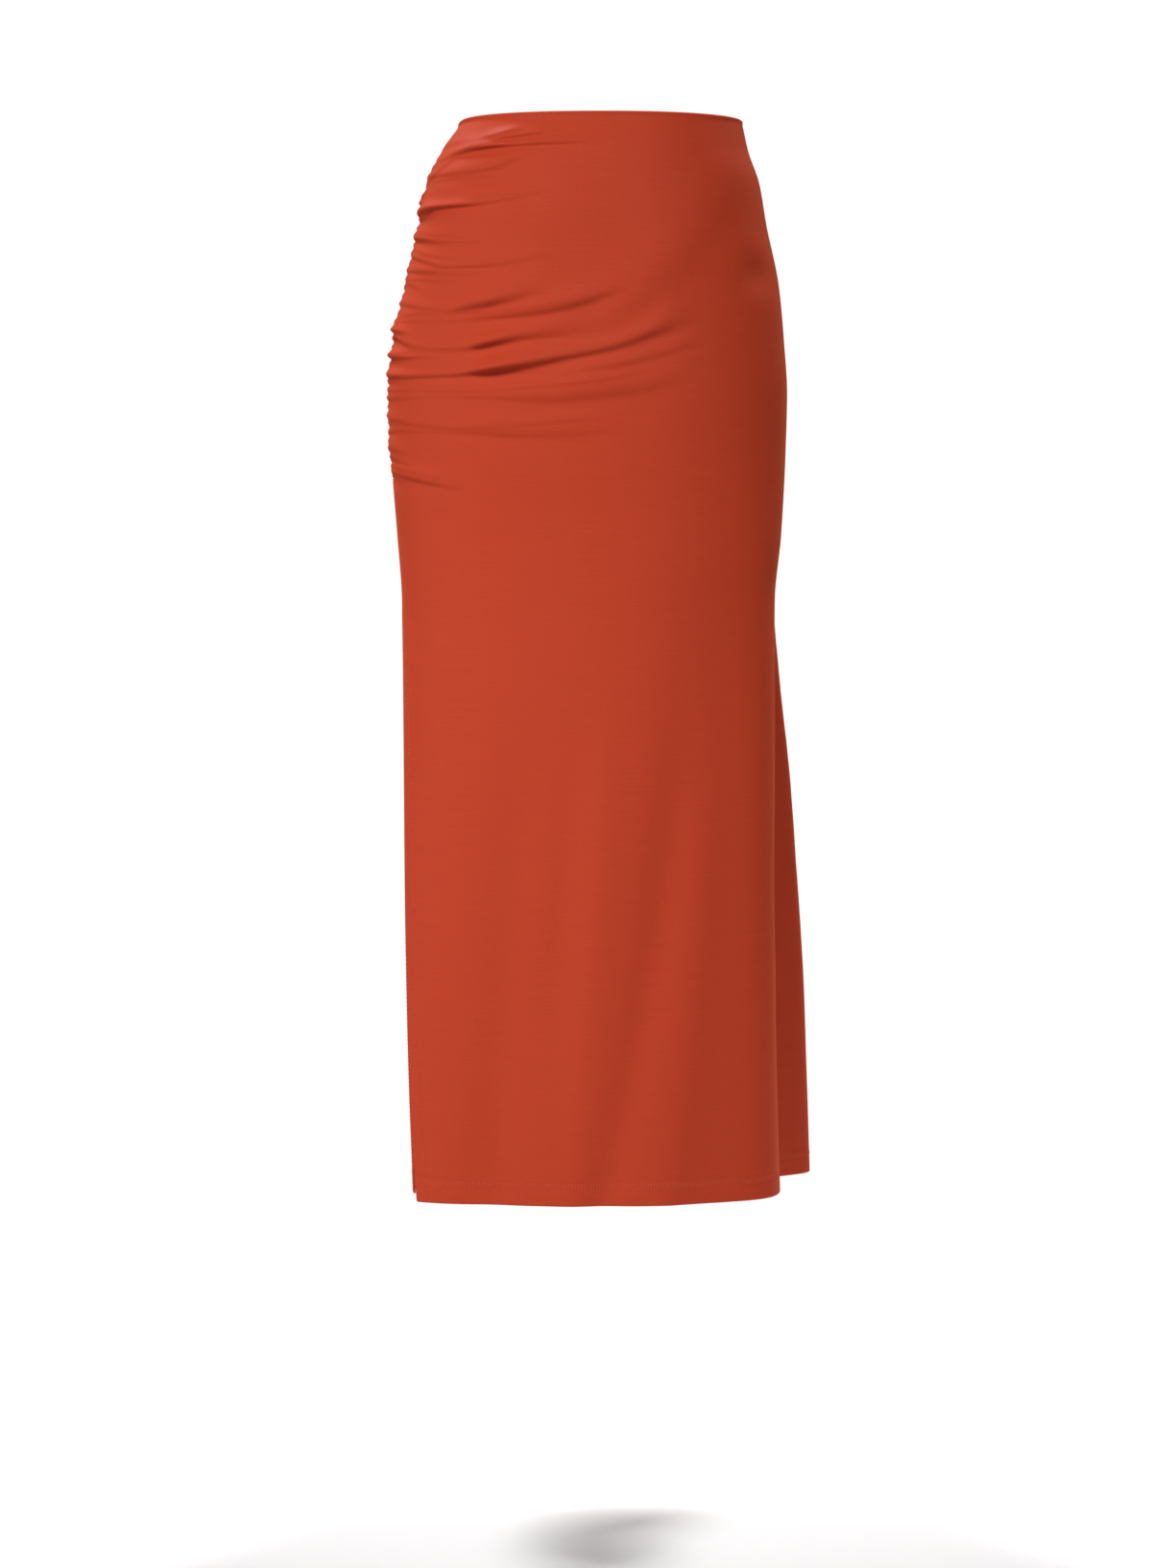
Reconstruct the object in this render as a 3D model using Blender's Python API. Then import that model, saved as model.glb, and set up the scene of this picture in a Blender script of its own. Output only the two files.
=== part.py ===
"""Midi skirt of fine jersey, in the hollow form it has when worn.

Two cut pieces make the skirt. They meet at a ruched seam on the -X side, which opens into a slit
lower down, and at a plain seam on the +X side, which lies in the valley of a soft flute.
The origin is the middle of the waist, +Z is up and the front faces -Y.
Tables and lengths are in millimetres, and the meshes are in metres.
"""
import functools
import math

import bpy
import numpy as np

MM = 0.001

# Cloth
WALL = 1.6
TURNING = 0.8
SEAM_GAP = 0.3
SQUARENESS = 2.2

# Levels
WAIST = 3.0
HEM = -859.0
SLIT_TOP = -383.0
WAIST_TURNING = 8.0
HEM_TURNING = 20.0
SLIT_TURNING = 11.0

# Ruched seam
RUCHED_FROM = -12.0
RUCHED_TO = -292.0
GATHER_PITCH = 6.9
GATHER_HEIGHT = 1.1
GATHER_REACH = 17.0
GATHER_FADE = 40.0
GATHER_PITCH_CHANGE = 0.22
GATHER_HEIGHT_CHANGE = 0.25
SEAM_DRAW = 7.0
SEAM_DRAW_REACH = 13.0
SEAM_DRAW_DEPTH = 25.0

# Reach of the form at each level, from the middle of the waist. "left" is the ruched side, "side" the
# depth at which that side lies, "front" and "back" the depths there. Fold, valley and flare are the
# turns of the flute on the other side, each with its own depth.
SECTION_COLUMNS = ("level", "left", "side", "front", "back", "fold", "fold_y", "valley", "valley_y",
                   "flare", "flare_y")
SECTIONS = (
    (0, 116.0, 0, 86, 90, 114.5, 0, 114.5, 0, 114.5, 0),
    (-20, 129.5, 0, 93, 95, 119.0, 0, 119.0, 0, 119.0, 0),
    (-46, 141.5, 0, 99, 101, 128.0, 0, 128.0, 0, 128.0, 0),
    (-80, 148.5, -1, 105, 109, 134.0, 0, 134.0, 0, 134.0, 0),
    (-128, 159.0, -3, 109, 120, 144.0, 0, 144.0, 0, 144.0, 0),
    (-175, 169.0, -6, 110, 127, 148.5, 0, 148.5, 0, 148.5, 0),
    (-215, 173.0, -9, 110, 130, 151.0, 0, 151.0, 0, 151.0, 0),
    (-270, 170.0, -13, 108, 130, 149.5, -2, 149.5, 0, 149.5, 2),
    (-330, 165.0, -18, 106, 125, 145.5, -8, 145.0, 0, 145.5, 8),
    (-383, 161.0, -25, 106, 121, 139.5, -16, 137.5, 0, 141.5, 17),
    (-440, 160.0, -30, 108, 119, 138.8, -25, 133.8, 1, 146.5, 28),
    (-530, 159.0, -38, 113, 120, 138.3, -34, 130.0, 3, 156.3, 42),
    (-625, 158.5, -46, 118, 124, 138.2, -41, 128.0, 5, 164.0, 52),
    (-715, 157.0, -53, 123, 130, 138.8, -45, 127.0, 7, 169.2, 58),
    (-790, 155.5, -58, 128, 135, 140.8, -47, 127.0, 8, 172.3, 62),
    (-859, 153.5, -62, 132, 140, 142.6, -48, 127.5, 9, 174.0, 65),
)

# Edges of the open slit below the ruched seam, and how far each panel has turned round at its edge,
# in degrees from facing straight forward or back.
SLIT_COLUMNS = ("level", "front_x", "front_y", "front_turn", "back_x", "back_y", "back_turn")
SLIT = (
    (-383, 161.0, -25, 90, 161.0, -25, 90),
    (-440, 159.3, -43, 84, 160.0, -31, 91),
    (-530, 157.6, -60, 77, 159.0, -40, 93),
    (-625, 156.3, -76, 72, 158.0, -48, 95),
    (-715, 154.5, -89, 68, 156.0, -54, 97),
    (-790, 152.0, -99, 65, 153.7, -59, 99),
    (-859, 146.5, -106, 63, 150.8, -62, 100),
)

# Drape folds that leave the ruched seam. Each is a groove through three points of the panel, seen
# from straight ahead, with the cloth that hangs over it as a ridge just above.
DRAPE_COLUMNS = ("start_x", "start_z", "middle_x", "middle_z", "end_x", "end_z", "depth", "width")
FRONT_DRAPES = (
    (-125, -30, -75, -25, -8, -21, 1.6, 6),
    (-131, -45, -95, -45, -50, -30, 0.9, 6),
    (-147, -74, -117, -70, -40, -60, 1.8, 6),
    (-150, -93, -136, -97, -105, -98, 0.8, 6),
    (-152, -106, -118, -120, -50, -110, 1.6, 7),
    (-156, -122, -125, -128, -80, -130, 0.8, 6),
    (-110, -152, -73, -147, -38, -139, 1.5, 6),
    (-160, -160, -90, -162, 14, -139, 2.6, 8),
    (-165, -170, -110, -187, -15, -170, 2.6, 7),
    (-170, -188, -157, -190, -134, -190, 1.5, 5),
    (-172, -203, -80, -206, 76, -160, 4.8, 9),
    (-15, -203, 28, -196, 74, -182, 1.3, 8),
    (-166, -221, -60, -228, 76, -206, 3.2, 12),
    (-168, -241, -110, -249, -22, -241, 1.3, 7),
    (-165, -248, -70, -256, 20, -249, 2.0, 8),
    (-162, -279, -145, -287, -108, -293, 1.8, 5),
)
BACK_DRAPES = (
    (-126, -34, -70, -31, 0, -24, 1.5, 6),
    (-146, -72, -95, -80, -20, -70, 1.8, 7),
    (-155, -118, -110, -125, -30, -112, 1.6, 7),
    (-162, -158, -90, -171, 34, -148, 3.0, 9),
    (-168, -190, -125, -197, -60, -191, 1.6, 6),
    (-171, -214, -85, -223, 66, -194, 4.2, 10),
    (-167, -238, -100, -251, 14, -243, 2.4, 9),
    (-161, -270, -125, -284, -62, -285, 1.9, 7),
)

# Long soft folds of the lower part: grooves have a negative height and ridges a positive one.
HANG_COLUMNS = ("top_x", "top_z", "middle_x", "middle_z", "low_x", "low_z", "height", "width")
FRONT_HANGS = (
    (-55, -440, -70, -620, -90, -859, -3.5, 17),
    (-17, -470, -22, -640, -40, -740, -1.6, 14),
    (18, -510, 4, -684, -34, -859, 3.0, 18),
    (60, -450, 50, -610, 10, -859, -5.0, 17),
    (88, -540, 75, -672, 42, -859, 3.6, 16),
)
BACK_HANGS = (
    (-68, -420, -84, -640, -96, -859, -4.2, 20),
    (-8, -450, -12, -650, -24, -859, 3.6, 22),
    (42, -430, 48, -640, 58, -859, -4.8, 20),
    (104, -470, 110, -650, 118, -859, 3.2, 19),
)

# Shape of a drape fold's cross-section, in its own widths and depths, and of the fading at fold ends
# as shares of the fold's run.
GROOVE_UPPER_SIDE = 0.7
GROOVE_LOWER_SIDE = 1.5
RIDGE_ABOVE = 1.5
RIDGE_WIDTH = 0.9
RIDGE_HEIGHT = 0.6
DRAPE_FADE_IN = 0.16
DRAPE_FADE_OUT = 0.5
HANG_FADE_IN = 0.45
HANG_FADE_OUT = 0.4

# Folds fade to nothing over these lengths of cloth, so that the panels meet at their seams.
CLEAR_OF_RUCHED_SEAM = 12.0
CLEAR_OF_PLAIN_SEAM = 30.0

# Broad swells and hollows of the upper part.
SWELL_COLUMNS = ("x", "z", "half_width", "half_height", "height")
FRONT_SWELLS = (
    (-48, -62, 52, 36, 3.0),
    (52, -125, 38, 52, -4.5),
    (126, -126, 20, 22, -2.4),
)
BACK_SWELLS = (
    (-20, -75, 60, 34, -2.6),
    (70, -150, 55, 60, 2.4),
)

# Grid of each panel, from the ruched side round to the plain seam, and edges sharper than this angle
# stay sharp.
SEAM_COLUMN_REACHES = (6.0, 14.0, 26.0)
TOP_ROWS_TO = -302.0
LOWER_LEVELS = (-322, -345, -365, -383, -396, -412, -434, -462, -495, -530, -568, -608, -648, -688,
                -728, -768, -806, -836, -841, -859)
SECTION_POINTS = 80
FLUTE_POINTS = 24
NORMAL_STEP = 0.4
SHARP_ANGLE = 50


class Panel:
    """What sets one cut piece apart from the other."""

    def __init__(self, name, facing, drapes, hangs, swells, columns, row_step, color):
        self.name = name
        self.facing = facing
        self.drapes = drapes
        self.hangs = hangs
        self.swells = swells
        self.columns = columns
        self.row_step = row_step
        self.color = color


PANELS = (
    Panel("front_panel", -1, FRONT_DRAPES, FRONT_HANGS, FRONT_SWELLS, 24, 8.0, (0.45, 0.05, 0.022, 1)),
    Panel("back_panel", 1, BACK_DRAPES, BACK_HANGS, BACK_SWELLS, 20, 9.6, (0.38, 0.042, 0.02, 1)),
)


def smooth_rows(table, columns, level):
    """A table's values at one level, on a curve through its rows that never overshoots them."""
    rows = np.array(table, float)
    depth = -rows[:, 0]
    span = np.diff(depth)[:, None]
    rise = np.diff(rows[:, 1:], axis=0) / span
    slope = np.zeros((len(rows), rows.shape[1] - 1))
    slope[0] = rise[0]
    slope[-1] = rise[-1]
    steady = rise[:-1] * rise[1:] > 0
    weight_a = 2 * span[1:] + span[:-1]
    weight_b = span[1:] + 2 * span[:-1]
    safe_a = np.where(steady, rise[:-1], 1)
    safe_b = np.where(steady, rise[1:], 1)
    slope[1:-1] = np.where(steady, (weight_a + weight_b) / (weight_a / safe_a + weight_b / safe_b), 0)
    at = min(max(-level, depth[0]), depth[-1])
    i = min(int(np.searchsorted(depth, at, side="right")) - 1, len(depth) - 2)
    t = (at - depth[i]) / span[i, 0]
    value = ((1 + 2 * t) * (1 - t) ** 2 * rows[i, 1:] + t * (1 - t) ** 2 * span[i] * slope[i]
             + t * t * (3 - 2 * t) * rows[i + 1, 1:] + t * t * (t - 1) * span[i] * slope[i + 1])
    return dict(zip(columns[1:], value))


def signed_power(value, power):
    return np.sign(value) * np.abs(value) ** power


def smooth_step(value):
    t = np.clip(value, 0, 1)
    return t * t * (3 - 2 * t)


def quarter(depth, edge_x, edge_y, turn):
    """A quarter of a rounded section, from the middle at (0, -depth) to an edge turned by some degrees."""
    power = 2 / SQUARENESS
    angle = np.linspace(0, math.radians(turn), SECTION_POINTS)
    end_sine = signed_power(math.sin(math.radians(turn)), power)
    end_cosine = signed_power(math.cos(math.radians(turn)), power)
    centre_y = (edge_y + depth * end_cosine) / (1 - end_cosine)
    x = edge_x / end_sine * signed_power(np.sin(angle), power)
    y = centre_y - (depth + centre_y) * signed_power(np.cos(angle), power)
    return x, y


@functools.lru_cache(maxsize=None)
def section(panel, level):
    """The panel's section at one level, from the ruched side round to the plain seam.

    Gives x, y and the length of cloth up to each point.
    """
    form = smooth_rows(SECTIONS, SECTION_COLUMNS, level)
    if panel.facing < 0:
        middle, turn, turn_y = form["front"], form["fold"], form["fold_y"]
    else:
        middle, turn, turn_y = form["back"], form["flare"], -form["flare_y"]
    edge_x, edge_y, edge_turn = form["left"], -panel.facing * form["side"], 90
    if level < SLIT_TOP:
        slit = smooth_rows(SLIT, SLIT_COLUMNS, level)
        side = "front" if panel.facing < 0 else "back"
        edge_x = slit[side + "_x"]
        edge_y = -panel.facing * slit[side + "_y"]
        edge_turn = slit[side + "_turn"]
    left_x, left_y = quarter(middle, -edge_x, edge_y, edge_turn)
    right_x, right_y = quarter(middle, turn, turn_y, 90)
    along = np.linspace(0, 1, FLUTE_POINTS)[1:]
    flute_x = turn + (form["valley"] - turn) * (1 - np.cos(math.pi * along)) / 2
    flute_y = turn_y + (-panel.facing * form["valley_y"] - turn_y) * along
    x = np.concatenate([left_x[::-1], right_x[1:], flute_x])
    y = -panel.facing * np.concatenate([left_y[::-1], right_y[1:], flute_y])
    length = np.concatenate([[0], np.cumsum(np.hypot(np.diff(x), np.diff(y)))])
    return x, y, length


@functools.lru_cache(maxsize=None)
def gathers():
    """Levels and heights of the seam's gathers, crest and groove in turn, unevenly spaced."""
    levels = []
    heights = []
    level = RUCHED_FROM
    count = 0
    while level > RUCHED_TO:
        fade = min(1.0, (level - RUCHED_TO) / GATHER_FADE, 0.5 + (RUCHED_FROM - level) / GATHER_FADE)
        strength = 1 - GATHER_HEIGHT_CHANGE * (1 - math.sin(1.7 * count))
        levels.append(level)
        heights.append((-1) ** count * GATHER_HEIGHT * fade * strength)
        level -= GATHER_PITCH / 2 * (1 + GATHER_PITCH_CHANGE * math.sin(2.4 * count))
        count += 1
    return np.array(levels), np.array(heights)


def gather_height(level, reach):
    """How far the gathers lift the cloth at a level, some millimetres along it from the seam."""
    levels, heights = gathers()
    height = np.interp(-level, -levels, heights, left=0, right=0)
    return height * np.exp(-((reach / GATHER_REACH) ** 2))


def parabola(x, points):
    """The parabola through three points, at x."""
    (x0, y0), (x1, y1), (x2, y2) = points
    slope = (y1 - y0) / (x1 - x0)
    bend = ((y2 - y1) / (x2 - x1) - slope) / (x2 - x0)
    return y0 + slope * (x - x0) + bend * (x - x0) * (x - x1)


def drape_height(x, z, row):
    """One drape fold: a groove, steep on its upper side, under a ridge of overhanging cloth."""
    fold = dict(zip(DRAPE_COLUMNS, row))
    points = ((fold["start_x"], fold["start_z"]), (fold["middle_x"], fold["middle_z"]),
              (fold["end_x"], fold["end_z"]))
    along = (x - fold["start_x"]) / (fold["end_x"] - fold["start_x"])
    fade = smooth_step(along / DRAPE_FADE_IN) * smooth_step((1 - along) / DRAPE_FADE_OUT)
    above = z - parabola(x, points)
    width = fold["width"]
    spread = np.where(above > 0, GROOVE_UPPER_SIDE * width, GROOVE_LOWER_SIDE * width)
    groove = np.exp(-((above / spread) ** 2))
    ridge = np.exp(-(((above - RIDGE_ABOVE * width) / (RIDGE_WIDTH * width)) ** 2))
    return fold["depth"] * fade * (RIDGE_HEIGHT * ridge - groove)


def hang_height(x, z, row):
    """One long soft fold of the lower part, fading in from its top."""
    fold = dict(zip(HANG_COLUMNS, row))
    points = ((fold["top_z"], fold["top_x"]), (fold["middle_z"], fold["middle_x"]),
              (fold["low_z"], fold["low_x"]))
    along = (fold["top_z"] - z) / (fold["top_z"] - fold["low_z"])
    ends_early = fold["low_z"] > HEM
    fade = smooth_step(along / HANG_FADE_IN)
    fade = fade * np.where(ends_early, smooth_step((1 - along) / HANG_FADE_OUT), 1)
    aside = x - parabola(z, points)
    return fold["height"] * fade * np.exp(-((aside / fold["width"]) ** 2))


def swell_height(x, z, row):
    swell = dict(zip(SWELL_COLUMNS, row))
    return swell["height"] * np.exp(-(((x - swell["x"]) / swell["half_width"]) ** 2)
                                    - ((z - swell["z"]) / swell["half_height"]) ** 2)


def cloth_height(panel, x, z, from_seam, to_seam):
    """How far the cloth stands out from the plain form. Folds fade out at both seams."""
    folds = sum(drape_height(x, z, row) for row in panel.drapes)
    folds = folds + sum(hang_height(x, z, row) for row in panel.hangs)
    folds = folds + sum(swell_height(x, z, row) for row in panel.swells)
    clear = smooth_step(from_seam / CLEAR_OF_RUCHED_SEAM) * smooth_step(to_seam / CLEAR_OF_PLAIN_SEAM)
    return folds * clear + gather_height(z, from_seam)


def wall_thickness(level, from_seam):
    """The cloth lies double where its edges are turned in."""
    turned = level > WAIST - WAIST_TURNING or level < HEM + HEM_TURNING
    turned = turned or (level < SLIT_TOP and from_seam < SLIT_TURNING)
    return WALL + (TURNING if turned else 0)


def cloth_point(panel, level, column):
    """Outer and inner point of the wall at one level of one column."""
    x, y, length = section(panel, level)
    whole = length[-1]
    seam_reaches = (SEAM_GAP / 2,) + SEAM_COLUMN_REACHES
    if column < len(seam_reaches):
        reach = seam_reaches[column]
    else:
        share = (column - len(seam_reaches) + 1) / panel.columns
        reach = seam_reaches[-1] + share * (whole - SEAM_GAP / 2 - seam_reaches[-1])
    ends = (max(reach - NORMAL_STEP, 0), min(reach + NORMAL_STEP, whole))
    along_x = float(np.diff(np.interp(ends, length, x))[0])
    along_y = float(np.diff(np.interp(ends, length, y))[0])
    if column == 0 and level >= SLIT_TOP:
        along_x, along_y = 0.0, panel.facing
    if whole - reach < NORMAL_STEP:
        along_x, along_y = 0.0, -panel.facing
    out = panel.facing * np.array([-along_y, along_x, 0]) / math.hypot(along_x, along_y)
    at_x = float(np.interp(reach, length, x))
    at_y = float(np.interp(reach, length, y))
    draw = SEAM_DRAW * math.exp(-reach / SEAM_DRAW_REACH) * math.exp((level - WAIST) / SEAM_DRAW_DEPTH)
    height = float(cloth_height(panel, at_x, level, reach, whole - reach))
    outer = np.array([at_x, at_y, level - draw]) + out * height
    return outer, outer - out * wall_thickness(level, reach)


def column_levels(panel, column):
    """Levels of one column's points: close together where the gathers are, then in even rows."""
    if column <= len(SEAM_COLUMN_REACHES):
        gather_levels = [level for level in gathers()[0] if level > RUCHED_TO]
        top = [WAIST, WAIST - WAIST_TURNING] + gather_levels + [TOP_ROWS_TO]
    else:
        rows = round((WAIST - WAIST_TURNING - TOP_ROWS_TO) / panel.row_step)
        step = (WAIST - WAIST_TURNING - TOP_ROWS_TO) / rows
        top = [WAIST] + [WAIST - WAIST_TURNING - row * step for row in range(rows + 1)]
    return top + list(LOWER_LEVELS)


def stitch(first, first_levels, second, second_levels):
    """Triangles between two neighbouring columns of points, each listed from the top down."""
    i = 0
    j = 0
    faces = []
    while i < len(first) - 1 or j < len(second) - 1:
        second_done = j == len(second) - 1
        first_next = i < len(first) - 1 and (second_done or first_levels[i + 1] >= second_levels[j + 1])
        if first_next:
            faces.append((first[i], first[i + 1], second[j]))
            i += 1
        else:
            faces.append((first[i], second[j + 1], second[j]))
            j += 1
    return faces


def panel_mesh(panel):
    """The panel's closed wall: outer and inner sheets, joined round their edge."""
    outer = []
    inner = []
    columns = []
    levels = []
    for column in range(len(SEAM_COLUMN_REACHES) + 1 + panel.columns):
        levels.append(column_levels(panel, column))
        columns.append(list(range(len(outer), len(outer) + len(levels[-1]))))
        for level in levels[-1]:
            point_out, point_in = cloth_point(panel, level, column)
            outer.append(point_out)
            inner.append(point_in)
    sheet = []
    for left in range(len(columns) - 1):
        sheet += stitch(columns[left], levels[left], columns[left + 1], levels[left + 1])
    top = [column[0] for column in columns]
    bottom = [column[-1] for column in columns]
    edge = columns[0][:-1] + bottom[:-1] + columns[-1][:0:-1] + top[:0:-1]
    behind = len(outer)
    faces = sheet + [(a + behind, c + behind, b + behind) for a, b, c in sheet]
    faces += [(b, a, a + behind, b + behind) for a, b in zip(edge, edge[1:] + edge[:1])]
    if panel.facing > 0:
        faces = [face[::-1] for face in faces]
    mesh = bpy.data.meshes.new(panel.name)
    points = np.array(outer + inner) * MM
    mesh.from_pydata(points.tolist(), [], faces)
    mesh.shade_smooth()
    mesh.set_sharp_from_angle(angle=math.radians(SHARP_ANGLE))
    return mesh


def jersey(name, color):
    """Matt jersey with a slight sheen."""
    material = bpy.data.materials.new(name)
    material.use_nodes = True
    shader = material.node_tree.nodes["Principled BSDF"]
    shader.inputs["Base Color"].default_value = color
    shader.inputs["Roughness"].default_value = 0.75
    shader.inputs["Metallic"].default_value = 0.0
    shader.inputs["Sheen Weight"].default_value = 0.2
    return material


def clear_scene():
    for thing in list(bpy.data.objects):
        bpy.data.objects.remove(thing, do_unlink=True)


def main():
    clear_scene()
    for panel in PANELS:
        mesh = panel_mesh(panel)
        mesh.materials.append(jersey(panel.name + "_jersey", panel.color))
        piece = bpy.data.objects.new(panel.name, mesh)
        bpy.context.scene.collection.objects.link(piece)


main()
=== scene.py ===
"""Midi skirt of fine rust jersey: the cloth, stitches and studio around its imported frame.

The skirt keeps the hollow form it has when worn. Lengths and tables are in millimetres, from the
middle of the waist, with +Z up and the front facing -Y. The meshes and the studio are in metres.
"""
import logging
import math
from dataclasses import dataclass, field
from enum import Enum

import bpy
import numpy as np
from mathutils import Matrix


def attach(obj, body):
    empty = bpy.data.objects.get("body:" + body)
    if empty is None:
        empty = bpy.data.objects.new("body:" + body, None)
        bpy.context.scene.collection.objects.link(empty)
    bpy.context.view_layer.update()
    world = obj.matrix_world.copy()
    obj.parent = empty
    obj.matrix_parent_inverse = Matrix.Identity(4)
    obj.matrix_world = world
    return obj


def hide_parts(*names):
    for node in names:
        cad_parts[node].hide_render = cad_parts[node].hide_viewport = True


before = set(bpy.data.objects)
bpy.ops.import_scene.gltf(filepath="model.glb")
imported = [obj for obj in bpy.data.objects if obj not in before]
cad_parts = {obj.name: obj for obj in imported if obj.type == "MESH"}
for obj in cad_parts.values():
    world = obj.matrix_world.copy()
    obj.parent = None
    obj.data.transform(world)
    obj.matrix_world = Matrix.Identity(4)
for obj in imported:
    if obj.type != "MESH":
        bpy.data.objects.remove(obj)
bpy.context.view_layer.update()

log = logging.getLogger("midi_skirt")
Array = np.ndarray
Pair = tuple[float, float]
Place = tuple[float, float, float]
Sewn = tuple[Array, Array, Array]
Tree = bpy.types.NodeTree
Socket = bpy.types.NodeSocket

MM = 0.001
WAIST = 3.0
HEM = -859.0
SLIT_TOP = -383.0
# Degrees that a section has turned where it meets a plain seam.
SQUARE_ON = 90.0
# A wave texture of scale 1 repeats every pi / 10.
WAVE_PITCH = math.pi / 10


def srgb_to_linear(code: str) -> tuple[float, float, float, float]:
    """Turn an sRGB hex colour into the linear values that a shader takes.

    Args:
        code: Colour such as "#B23F2A".

    Returns:
        Linear red, green and blue, and full opacity.
    """
    parts = [int(code[i:i + 2], 16) / 255 for i in (1, 3, 5)]
    line = [v / 12.92 if v <= 0.04045 else ((v + 0.055) / 1.055) ** 2.4 for v in parts]
    return (line[0], line[1], line[2], 1.0)


def smooth_step(value: Array) -> Array:
    """Ease from 0 to 1: t * t * (3 - 2t) with t held between 0 and 1."""
    t = np.clip(value, 0.0, 1.0)
    return t * t * (3.0 - 2.0 * t)


def signed_power(value: Array, power: float) -> Array:
    """Raise the size of a value to a power and keep its sign."""
    return np.sign(value) * np.abs(value) ** power


def bell(distance: Array, width: float | Array) -> Array:
    """Bell curve exp(-(d / w)^2)."""
    return np.exp(-((distance / width) ** 2))


def parabola(at: Array, points: tuple[Pair, ...]) -> Array:
    """The parabola through three points, by Newton's divided differences.

    Args:
        at: Where it is wanted.
        points: Three pairs of place and value.

    Returns:
        The values there.
    """
    (x0, y0), (x1, y1), (x2, y2) = points
    slope = (y1 - y0) / (x1 - x0)
    bend = ((y2 - y1) / (x2 - x1) - slope) / (x2 - x0)
    return y0 + slope * (at - x0) + bend * (at - x0) * (at - x1)


def smooth_curve(at: Array, rows: Array) -> Array:
    """Values between the rows of a table, on a curve that never overshoots them.

    A cubic Hermite curve joins the rows. Its slope at a row is the weighted harmonic mean of the two
    neighbouring rises, and 0 where they differ in sign. Past either end it keeps the last row.

    Args:
        at: Places where the values are wanted, of any shape.
        rows: A rising place and then the values, (n, 1 + k).

    Returns:
        The values, (..., k).
    """
    place, value = rows[:, 0], rows[:, 1:]
    span = np.diff(place)[:, None]
    rise = np.diff(value, axis=0) / span
    slope = np.zeros_like(value)
    slope[0], slope[-1] = rise[0], rise[-1]
    steady = rise[:-1] * rise[1:] > 0
    weight_a, weight_b = 2 * span[1:] + span[:-1], span[1:] + 2 * span[:-1]
    safe_a, safe_b = np.where(steady, rise[:-1], 1), np.where(steady, rise[1:], 1)
    mean = (weight_a + weight_b) / (weight_a / safe_a + weight_b / safe_b)
    slope[1:-1] = np.where(steady, mean, 0)
    held = np.clip(at, place[0], place[-1])
    i = np.clip(np.searchsorted(place, held, side="right") - 1, 0, len(place) - 2)
    run = span[i]
    t = (held - place[i])[..., None] / run
    return ((1 + 2 * t) * (1 - t) ** 2 * value[i] + t * (1 - t) ** 2 * run * slope[i]
            + t * t * (3 - 2 * t) * value[i + 1] + t * t * (t - 1) * run * slope[i + 1])


@dataclass(frozen=True)
class LevelTable:
    """Sizes by level, read on a smooth curve that never overshoots its rows."""

    columns: tuple[str, ...]
    rows: tuple[tuple[float, ...], ...]

    def at(self, level: Array) -> dict[str, Array]:
        """Every column at the given levels, (n,), each as an array (n, 1) under its name."""
        rows = np.array(self.rows, float)
        rows[:, 0] *= -1
        value = smooth_curve(-np.atleast_1d(level), rows)
        return {name: value[:, k:k + 1] for k, name in enumerate(self.columns[1:])}


class Side(Enum):
    """Which cut piece something belongs to, as the way that it faces along Y."""

    FRONT = -1
    BACK = 1

    @property
    def word(self) -> str:
        """The side's name in lower case."""
        return self.name.lower()


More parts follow.
